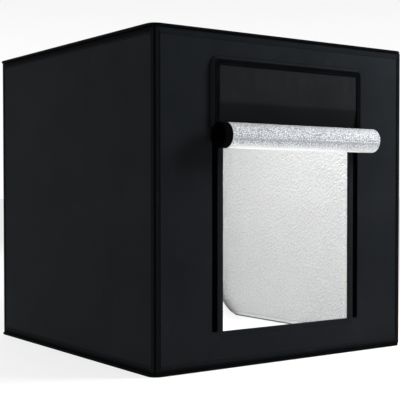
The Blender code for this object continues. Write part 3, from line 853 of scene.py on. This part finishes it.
def board_cover(panel, lap, seed, opening=None, held_back=None):
    """The cloth-covered board: it comes up from under the tape and is softly drawn in and out, but
    lies flat on the board where it is held back."""
    half = panel.width / 2 - mitre_set_in
    top = panel.height - mitre_set_in
    under = lap - mitre_set_in
    taped = window_lap - cover
    grid_x, grid_z = panel_grid(
        (-half, half, mitre_set_in, top), cover_step, (under, under + edge_step),
        opening, (0, taped, taped + edge_step),
    )
    from_ends = np.minimum(grid_z - mitre_set_in, top - grid_z) - under
    distance = np.minimum(half - np.abs(grid_x) - under, from_ends)
    shown = ease(distance, 0.0, edge_step)
    rise = ease(distance, 0.0, 0.045)
    flush = 1 - ease(from_ends, 0.0, 0.020)
    if opening:
        from_window = from_opening(grid_x, grid_z, opening) - taped
        shown = shown * ease(from_window, 0.0, edge_step)
        rise = rise * ease(from_window, 0.002, 0.035)
        below = grid_z < opening[2] - taped
        flush = np.maximum(flush, below * (1 - ease(from_window, 0.0, 0.020)))
    wide_swell, close_swell = Swell(seed, 0.21), Swell(seed + 1, 0.055)
    swell = 0.00030 * wide_swell(grid_x, grid_z) + 0.00010 * close_swell(grid_x, grid_z)
    level = cover_level + (flush_level - cover_level) * flush
    near = cover + shown * (level - cover) + rise * swell
    if held_back:
        near = cover + (near - cover) * ease(from_opening(grid_x, grid_z, held_back), 0.0, 0.015)
    skin = thin_panel(grid_x, grid_z, near, panel.thickness - cover, opening)
    return skin.piece(
        panel.name + "_cover", board_cloth, panel, "coated_board", panel.name + "_board", sharp=60
    )


def foil_lining(panel, seed, opening=None):
    """The silver lining: laid over the board and its tape, with a rolled hem round its edge and
    shallow buckles between."""
    (first_x, _, first_z), (last_x, _, last_z) = panel.box(panel.name + "_lining")
    grid_x, grid_z = panel_grid(
        (first_x, last_x, first_z, last_z), foil_step,
        [foil_hem * share for share in (0.2, 0.45, 0.7, 1.0)], opening, (0, foil_hem),
    )
    edge = np.minimum(
        np.minimum(grid_x - first_x, last_x - grid_x), np.minimum(grid_z - first_z, last_z - grid_z)
    )
    if opening:
        edge = np.minimum(edge, np.maximum(from_opening(grid_x, grid_z, opening), 0))
    hem = np.sin(np.clip(edge / foil_hem, 0, 1) * math.pi) * 0.0007
    buckles = np.abs(Swell(seed, 0.070)(grid_x, grid_z)) * 0.00035
    dents = (1 + Swell(seed + 3, 0.020)(grid_x, grid_z)) * 0.00006
    near = panel.thickness + gap
    far = near + lining + hem + ease(edge, foil_hem, 0.040) * np.minimum(buckles + dents, 0.0006)
    skin = thin_panel(grid_x, grid_z, near, far, opening, edge)
    return skin.piece(
        panel.name + "_foil", wall_foil, panel, "silver_lining", panel.name + "_lining", sharp=60
    )


def cut(piece, centre, radius, panel):
    """Cuts a round hole through a panel's piece."""
    sides = 48
    ring = arc((centre[0], centre[2]), radius, 0, 360, sides)[:-1]
    number = np.arange(sides)
    ends = [spread(ring[:, 0], depth, ring[:, 1]) for depth in (-0.01, 0.02)]
    skin = Skin().add(ends, band(number, number + sides))
    cutter = skin.more(np.stack((number[::-1], number + sides))).piece("hole_cutter", thread, panel)
    modifier = piece.modifiers.new("hole", "BOOLEAN")
    modifier.operation = "DIFFERENCE"
    modifier.solver = "EXACT"
    modifier.object = cutter
    bpy.context.view_layer.update()
    evaluated = piece.evaluated_get(bpy.context.evaluated_depsgraph_get())
    old, piece.data = piece.data, bpy.data.meshes.new_from_object(evaluated)
    piece.modifiers.clear()
    bpy.data.meshes.remove(old)
    bpy.data.objects.remove(cutter, do_unlink=True)


def soft_slab(low, high, puff):
    """A soft rounded tab between two corners, thin along y, with round plan corners, rolled rims
    and puffed faces."""
    low, high = np.minimum(low, high), np.maximum(low, high)
    size = high - low
    middle = (low + high) / 2
    half = size[1] / 2
    corner = min(slab_corner, size[0] / 2, size[2] / 2) * 0.999
    outline = round_stations(size[0], size[2], corner)
    rims = [
        beside(outline, inset * half, middle[1] + level * half) + (middle[0], 0, low[2])
        for inset, level in ((1, -1), (0.3, -0.72), (0, 0), (0.3, 0.72), (1, 1))
    ]

    def face(rim, side):
        """The rings of a puffed face within its rim."""
        rings = []
        for share in (0.75, 0.4):
            ring = middle + (rim - middle) * (share, 0, share)
            ring[:, 1] += side * (half + puff * (1 - share ** 3))
            rings.append(ring)
        return rings

    loops = np.array(face(rims[0], -1)[::-1] + rims + face(rims[-1], 1))
    rows, count, _ = loops.shape
    tips = [middle + (0, side * (half + puff), 0) for side in (-1, 1)]
    points = np.concatenate((loops.reshape(-1, 3), tips))
    number = np.arange(rows * count).reshape(rows, count)
    faces = band(number[:-1], number[1:]).reshape(-1, 4)
    tip = rows * count
    ends = np.concatenate((fan(tip, number[0])[:, ::-1], fan(tip + 1, number[-1])))
    flat = points[:, [0, 2]]
    return Skin().add(points, faces, flat[faces]).more(ends, flat[ends])


def hooks(skin, low, high, base):
    """A field of small bent hooks that stand out of a strip's face, towards -y."""
    chance = np.random.default_rng(7)
    xs = np.arange(low[0] + 0.0014, high[0] - 0.0010, hook_spacing)
    zs = np.arange(low[2] + 0.0016, high[2] - 0.0012, hook_spacing * 1.12)
    grids = np.meshgrid(xs, zs, indexing="ij")
    x, z = (grid.ravel() + chance.normal(0, 0.00006, grid.size) for grid in grids)
    bend = np.where(np.arange(x.size) % 2, 1.0, -1.0) * hook_reach * 0.8
    stations = (0.0, -0.0002, 3), (0.0, 0.55, 3), (0.32, 0.95, 3), (0.80, 0.72, 1)
    points = []
    for sway, rise, sides in stations:
        stem = hook_stem if sides > 1 else 0.0
        for turn in np.radians(np.arange(sides) * 120.0):
            points.append(spread(
                x + stem * math.cos(turn), base - rise * hook_reach,
                z + bend * sway + stem * math.sin(turn),
            ))
    corner = np.arange(3)
    sides = np.concatenate([band(corner + ring, corner + ring + 3) for ring in (0, 3)])
    skin.add(np.stack(points, 1), repeated(sides, x.size))
    skin.more(repeated(np.concatenate((fan(9, corner + 6), [[0, 2, 1]])), x.size))


def hook_strip(name, panel):
    """A strip of hook tape beside the window, sewn down along both edges."""
    low, high = panel.box(name)
    base = low[1] + hook_ground
    skin = soft_slab((low[0], base, low[2]), high, 0.00002)
    edge = np.array((0.0014, 0, 0.001))
    hooks(skin, low + edge, high - edge, base)
    skin.piece(name + "_tape", hook_finish, panel, "hook_tape", name)
    paths = [
        [(x, base, low[2] + 0.004), (x, base, high[2] - 0.004)]
        for x in (low[0] + 0.0010, high[0] - 0.0010)
    ]
    stitches(name + "_stitches", panel, paths, finish=hook_finish, slot="hook_tape")


def strip(xs, route, near, far):
    """The rows of a thin strip along a route, given as (y, z, its normal's y and z), between two
    offsets along the normal."""
    y, z, normal_y, normal_z = route.T[:, :, None]
    near, far = (spread(xs, y + normal_y * offset, z + normal_z * offset) for offset in (near, far))
    return np.concatenate((near, far[:, ::-1]), 1)


def roll_route(flap_top, hang_top):
    """The door cloth's middle line, as stations (y, z, its normal's y and z, share of flare, turned
    on the roll), from its top seam down, outward into the roll and round in a spiral."""
    level = border_height - tape - border_skin - gap - cloth / 2
    bend_top = flap_top - border_length
    axis_height = flap_top - roll_drop
    offset = roll_standoff - level
    drop = bend_top - axis_height
    outer = roll_radius - foil - gap - cloth / 2
    bend_radius = (offset ** 2 + drop ** 2 - outer ** 2) / (2 * (offset - outer))
    sweep = math.atan2(drop, bend_radius - offset)

    def bent(out, height, radius, angle, flare, turned):
        """Stations on a bend round a middle that stands out from the wall."""
        cosine, sine = np.cos(angle), np.sin(angle)
        y, z = -(out + radius * cosine), height + radius * sine
        return spread(y, z, cosine, -sine, flare, turned)

    share = np.linspace(0, 1, 15)
    even = np.linspace(0, roll_turns, round(roll_turns * 60) + 1)[1:]
    turned = np.unique(np.concatenate((even, crease_turn + np.linspace(-0.030, 0.030, 19))))
    angle = math.pi + sweep + 2 * math.pi * turned
    return np.concatenate((
        spread(-level, np.linspace(hang_top, bend_top, 28)[:-1], -1.0, 0.0, 0.0, 0.0),
        bent(level + bend_radius, bend_top, bend_radius, math.pi + sweep * share, share, 0.0),
        bent(roll_standoff, axis_height, outer - roll_pitch * turned, angle, 1.0, turned),
    ))


def door_flap(panel):
    """The door: its raised border, the black cloth, its silver back and the hem on its left."""
    (first_x, _, _), (last_x, _, flap_top) = panel.box("flap_border")
    door = Place(panel.frame, "door_flap")
    width = last_x - first_x
    hang_top = flap_top - border_skin - border_slope - gap
    inner = width / 2 - border_slope - border_skin - side_play
    roll_end = width / 2 + roll_side_lap
    route = roll_route(flap_top, hang_top)
    _, height, _, _, flare, turned = route.T
    along = reach(route[:, :2])
    corner = border_corner - border_slope - border_skin - side_play
    fall = np.minimum(hang_top - height, corner)
    pinch = corner - np.sqrt(np.maximum(corner ** 2 - (corner - fall) ** 2, 0))
    fine, coarse = Swell(201, 0.016, 0.6), Swell(202, 0.050)
    pucker, slack = Swell(203, 0.022, 0.15), Swell(204, 0.085)

    def creases(xs, along, height, flare, turned):
        """How far the cloth strays: puckers and slack where it hangs, and creases on the roll."""
        hanging = (
            ease(inner - border_band - np.abs(xs), -0.002, 0.016)
            * ease(hang_top - border_band - height, -0.003, 0.016) * (1 - ease(flare, 0.0, 0.6))
        )
        seam = 1 - ease(hang_top - height, 0.02, 0.060)
        still = hanging * (0.00070 * pucker(xs, along) * seam + 0.00075 * slack(xs, along))
        drawn_in = -0.0026 * ease(flap_top - height, 0.078, 0.118) * (1 - ease(flare, 0.0, 1.0))
        pressed = 0.0008 * np.exp(-((turned - crease_turn) / 0.009) ** 2)
        crushed = 0.00013 * fine(xs, along) + 0.00016 * coarse(xs, along) + pressed
        return still + drawn_in + ease(flare, 0.2, 1.0) * crushed

    # Each side as its x where the cloth hangs, its x on the roll, and its lean into the corner
    left = (-inner, -roll_end, 1.0)
    right = (inner, roll_end, -1.0)
    hem_side = (-inner + hem_width, -roll_end + hem_width, 0.0)
    foil_side = (hem_side[0] + gap, hem_side[1] + gap, 0.0)
    half = cloth / 2
    inside = -half - gap, -half - gap - foil
    layers = (
        ("door_cloth", door_cloth, "flap_cloth", "flap_cloth", 74, (half, -half), left, right),
        ("door_foil", door_foil, "silver_lining", "flap_lining", 70, inside, foil_side, right),
        ("door_hem", hem_cloth, "flap_cloth", "flap_hem", 5, inside, left, hem_side),
    )
    for name, finish, slot, node, columns, (near, far), *sides in layers:
        ends = [hung + (rolled - hung) * flare + lean * pinch for hung, rolled, lean in sides]
        xs = np.linspace(*ends, columns, axis=1)
        stray = creases(xs, *(value[:, None] for value in (along, height, flare, turned)))
        skin = Skin().loft(strip(xs, route[:, :4], near + stray, far + stray))
        skin.piece(name, finish, door, slot, node, sharp=70)
    door_border(door, width / 2, flap_top)


def door_border(door, half, top):
    """The raised edge round the door: a padded cloth skirt, and the ribbed tape on its crest."""
    centre = half - border_corner
    level = top - border_corner
    rise = np.linspace(top - border_length, level, 16)
    stations = np.concatenate((
        spread(-half, rise[:-1], -1.0, 0.0),
        corner_stations((-centre, level), border_corner, 180, 90, 9),
        spread(np.linspace(-centre, centre, 58)[1:-1], top, 0.0, 1.0),
        corner_stations((centre, level), border_corner, 90, 0, 9),
        spread(half, rise[-2::-1], 1.0, 0.0),
    ))
    swell = 1 + Swell(310, 0.070)(0.006 * np.arange(len(stations))[:, None], 0.0)
    crest = tape - border_height
    under = crest + border_skin
    slope = border_slope
    skirt = np.array([
        (0.0, tape), (0.0013, tape - 0.0022), (0.0028, tape - 0.0046), (0.0042, tape - 0.0068),
        (0.0054, crest + 0.0006), (slope + 0.0010, crest + 0.0001),
        (slope + 0.0030, crest + 0.0002), (slope + 0.0030, under + 0.0001),
        (slope + 0.0016, under + 0.0002), (slope, under + 0.0008),
        (0.0050, tape - 0.0064), (0.0037, tape - 0.0044), (0.0023, tape - 0.0020),
        (border_skin, tape),
    ])
    padding = np.array([0, 0.3, 1, 1, 0.4, 0, 0, 0, 0, 0.4, 1, 1, 0.3, 0]) * 0.00012
    skin = Skin().loft(beside(stations[:, None], skirt[:, 0] + padding * swell, skirt[:, 1]))
    skin.piece("door_border", border_cloth, door, "binding_tape", "flap_border", sharp=60)
    first = slope - 0.0004
    last = slope + border_band - band_tuck
    ribbon = np.array([
        (first + 0.0004, crest - 0.0006), (first + 0.0022, crest - 0.0008),
        (first + 0.0062, crest - 0.0009), (last - 0.0022, crest - 0.0007),
        (last - 0.0004, crest - 0.0004), (last, crest + 0.0002), (last - 0.0002, under),
        (last - 0.0030, under), (last - 0.0062, under), (slope + 0.0036, crest + 0.0001),
        (first + 0.0018, crest - 0.0001), (first + 0.0001, crest - 0.0001),
    ])
    skin = Skin().loft(beside(stations[:, None], ribbon[:, 0], ribbon[:, 1]))
    skin.piece("door_border_tape", border_tape, door, "binding_tape", sharp=60)
    rows = (first + 0.0018, crest - 0.00085), (last - 0.0020, crest - 0.00075)
    stitches("door_border_stitches", door, [beside(stations, *row) for row in rows])


def backdrop(place):
    """The white sheet, laid on the floor and swept up the back wall in one cove."""
    low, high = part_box("backdrop_sheet")
    centre = (high.y - cove_radius, low.z + cove_radius)
    turns = arc((0, 0), 1, -90, 0, 24)
    route = np.concatenate((
        spread(np.linspace(low.y, centre[0], 44)[:-1], low.z + sheet_half, 0.0, 1.0),
        np.hstack((centre + turns * (cove_radius - sheet_half), -turns)),
        spread(high.y - sheet_half, np.linspace(centre[1], high.z, 44)[1:], -1.0, 0.0),
    ))
    along = reach(route[:, :2])
    xs, run = np.linspace(low.x, high.x, 57), along[:, None]
    swell = np.maximum(Swell(401, 0.24)(xs, run), -0.2) * ease(run, 0.0, 0.05)
    lift = (0.0007 * swell + 0.00015) * ease(xs - low.x, 0.0, 0.02) * ease(high.x - xs, 0.0, 0.02)
    skin = Skin().loft(strip(xs, route, lift - sheet_half, lift + sheet_half))
    piece = skin.piece("backdrop_film", sheet_film, place, "backdrop", "backdrop_sheet", sharp=60)


def fasteners(place, names, puff):
    """Soft tabs of hook tape. The gap in each name is filled with fastener for the piece, and with
    tab or pad for the solid that it replaces."""
    back = place.frame.inverted()
    for name in names:
        node = name.format("pad" if "bar" in name else "tab")
        skin = soft_slab(*(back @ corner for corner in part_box(node)), puff)
        skin.piece(name.format("fastener"), hook_finish, place, "hook_tape", node)


def grommet(panel, low, high):
    """The cable port: a rubber ring with rounded flanges on both faces of the back wall."""
    first, last = low[1], high[1]
    flange, neck, bore, lip, rim = 0.011, 0.008, 0.0055, 0.0014, 0.0010
    outside = mirrored(np.concatenate((
        arc((flange - lip / 2, first + lip / 2), lip / 2, 90, -90, 5), [(bore + 0.0016, first)],
        arc((bore + rim, first + rim), rim, -90, -180, 4),
    )), first, last)
    profile = np.concatenate((outside, [(neck, last - lip), (neck, first + lip)]))
    x, _, z = (low + high) / 2
    turn = np.radians(np.arange(0, 360, 7.5))[:, None]
    radius, depth = profile.T
    rows = spread(x + radius * np.cos(turn), depth, z + radius * np.sin(turn))
    skin = Skin().loft(rows, closed=True)
    skin.piece("cable_grommet", port_rubber, panel, "port_rubber", "cable_port", sharp=50)


front = Panel("front", "front_panel", (0, 1, 0), (0, 0, 1))
back = Panel("back", "back_panel", (0, -1, 0), (0, 0, 1))
left = Panel("left", "left_panel", (1, 0, 0), (0, 0, 1))
right = Panel("right", "right_panel", (-1, 0, 0), (0, 0, 1))
roof = Panel("roof", "roof_panel", (0, 0, -1), (0, 1, 0))
bottom = Panel("bottom", "base", (0, 0, 1), (0, -1, 0))

for number, wall in enumerate((front, back, left, right)):
    wall_tape(wall, 20 + 2 * number)
for number, plate in enumerate((roof, bottom)):
    plate_tape(plate, 40 + 2 * number)
board_hole, lining_hole = window_edge(front)
door_low, door_high = front.box("flap_border")
swing = (door_low[0] - 0.002, door_high[0] + 0.002, door_low[2], door_high[2] + 0.012)
board_cover(front, wall_lap, 101, board_hole, swing)
foil_lining(front, 151, lining_hole)
for number, panel in enumerate((left, right, roof, bottom)):
    board_cover(panel, plate_lap if panel in (roof, bottom) else wall_lap, 103 + 2 * number)
    foil_lining(panel, 155 + 5 * number)
port_low, port_high = back.box("cable_port")
port_centre = (port_low + port_high) / 2
cut(board_cover(back, wall_lap, 115), port_centre, neck_hole, back)
cut(foil_lining(back, 180), port_centre, flange_hole, back)
grommet(back, port_low, port_high)
hook_strip("hook_strip_left", front)
hook_strip("hook_strip_right", front)
door_flap(front)
on_back = Place(Matrix.Identity(4), "back_panel")
under_roof = Place(Matrix(((1, 0, 0, 0), (0, 0, -1, 0), (0, 1, 0, 0), (0, 0, 0, 1))), "roof_panel")
backdrop(on_back)
fasteners(on_back, ("backdrop_{}_left", "backdrop_{}_right"), 0.0001)
bars = ("bar_front", "bar_rear")
fasteners(under_roof, [f"{bar}_{{}}_{side}" for bar in bars for side in ("left", "right")], 0.00005)
for bar in bars:
    low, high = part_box(bar + "_board")
    board = lamp_board(bar + "_lamp_board", low.z + 0.0008, (low.y + high.y) / 2, 0.0125)
    for part, finish in (
        ("channel", bar_metal), ("board", board), ("cap_left", cap_plastic),
        ("cap_right", cap_plastic), ("inlet", inlet_plastic),
    ):
        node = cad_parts[f"{bar}_{part}"]
        node.data.materials.clear()
        node.data.materials.append(finish)

# Camera at the photograph's place
camera_data = bpy.data.cameras.new("camera")
camera_data.lens = 87.08
camera_data.sensor_width = 36.0
camera_data.shift_x = -0.0379
camera_data.shift_y = 0.0371
camera = put("camera", camera_data)
camera.location = (-1.1689, -1.6666, 0.3189)
camera.rotation_euler = (math.radians(90 - 1.493), 0, math.radians(-35.916))
bpy.context.scene.camera = camera


def lamp(name, place, target, size, power, colour, body=None, glossy=False):
    """A soft lamp that points at a target. One inside the tent moves with its panel."""
    data = bpy.data.lights.new(name, "AREA")
    data.shape = "RECTANGLE"
    data.size, data.size_y = size
    data.energy = power
    data.color = colour
    made = put(name, data)
    made.location = place
    made.rotation_euler = (Vector(target) - Vector(place)).to_track_quat("-Z", "Y").to_euler()
    made.visible_camera = False
    made.visible_glossy = glossy
    if body:
        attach(made, body)


lamp("studio_left", (-2.1, -0.2, 2.2), (0, 0, 0.3), (1.8, 1.8), 30, (0.97, 0.985, 1.0))
lamp("studio_right", (0.75, -0.85, 1.05), (0.29, -0.29, 0.58), (0.5, 0.5), 31, (1.0, 0.98, 0.955))
lamp("studio_back", (0.5, 2.6, 2.2), (0, 0, 0.3), (2.0, 2.0), 40, (1.0, 1.0, 1.0))
for bar in bars:
    low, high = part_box(bar + "_channel")
    middle = (low + high) / 2
    lamp(bar + "_glow", (middle.x, middle.y, low.z - 0.002), (middle.x, middle.y, 0),
         (0.48, 0.016), 1.30, (1.0, 0.995, 0.985), "roof_panel", glossy=True)
lamp("sheet_bounce", (0.0, -0.24, 0.03), (0.0, -0.33, 0.40), (0.26, 0.04), 0.36,
     (1.0, 1.0, 1.0), "base")


def direct_look(finish):
    """1 where the camera sees a place itself, mirrored or through something clear, and else 0."""
    rays = finish.node("ShaderNodeLightPath").socket.node.outputs
    camera_ray, glossy_ray, clear_ray = (
        Value(finish, rays[f"Is {kind} Ray"]) for kind in ("Camera", "Glossy", "Transmission")
    )
    return camera_ray.most(glossy_ray).most(clear_ray)


# Plain pale floor that keeps the tent's shadow, and a white surround
floor_finish = Finish("pale_floor")
pale = floor_finish.mix(floor_finish.noise(0.05, 3.0), paint(0.86), paint(0.89))
lit = floor_finish.node("ShaderNodeBsdfPrincipled", {}, {
    "Base Color": pale, "Roughness": 0.8, "Specular IOR Level": 0.1,
})
white = floor_finish.node("ShaderNodeEmission", {}, {"Color": paint(1), "Strength": 1.0})
share = direct_look(floor_finish) * 0.45 + 0.25
floor_finish.node("ShaderNodeOutputMaterial", {}, {
    "Surface": floor_finish.node("ShaderNodeMixShader", {}, {0: share, 1: lit, 2: white}),
})
floor_mesh = bpy.data.meshes.new("floor")
floor_mesh.from_pydata([(-30, -30, 0), (30, -30, 0), (30, 30, 0), (-30, 30, 0)], [], [(0, 1, 2, 3)])
floor_mesh.materials.append(floor_finish.owner)
floor = put("floor", floor_mesh)
floor.location.z = -0.0002

world = bpy.data.worlds.new("surround")
bpy.context.scene.world = world
surround = Finish("surround", world)
upward = surround.parts(surround.node("ShaderNodeTexCoord"))[2]
seen_share = direct_look(surround)
strength = seen_share * upward.step(0.08, 0.40, 1.0, 0.70) + (1 - seen_share) * 0.45
surround.node("ShaderNodeOutputWorld", {}, {
    "Surface": surround.node("ShaderNodeBackground", {}, {"Color": paint(1), "Strength": strength}),
})
bpy.context.scene.view_settings.view_transform = "Standard"
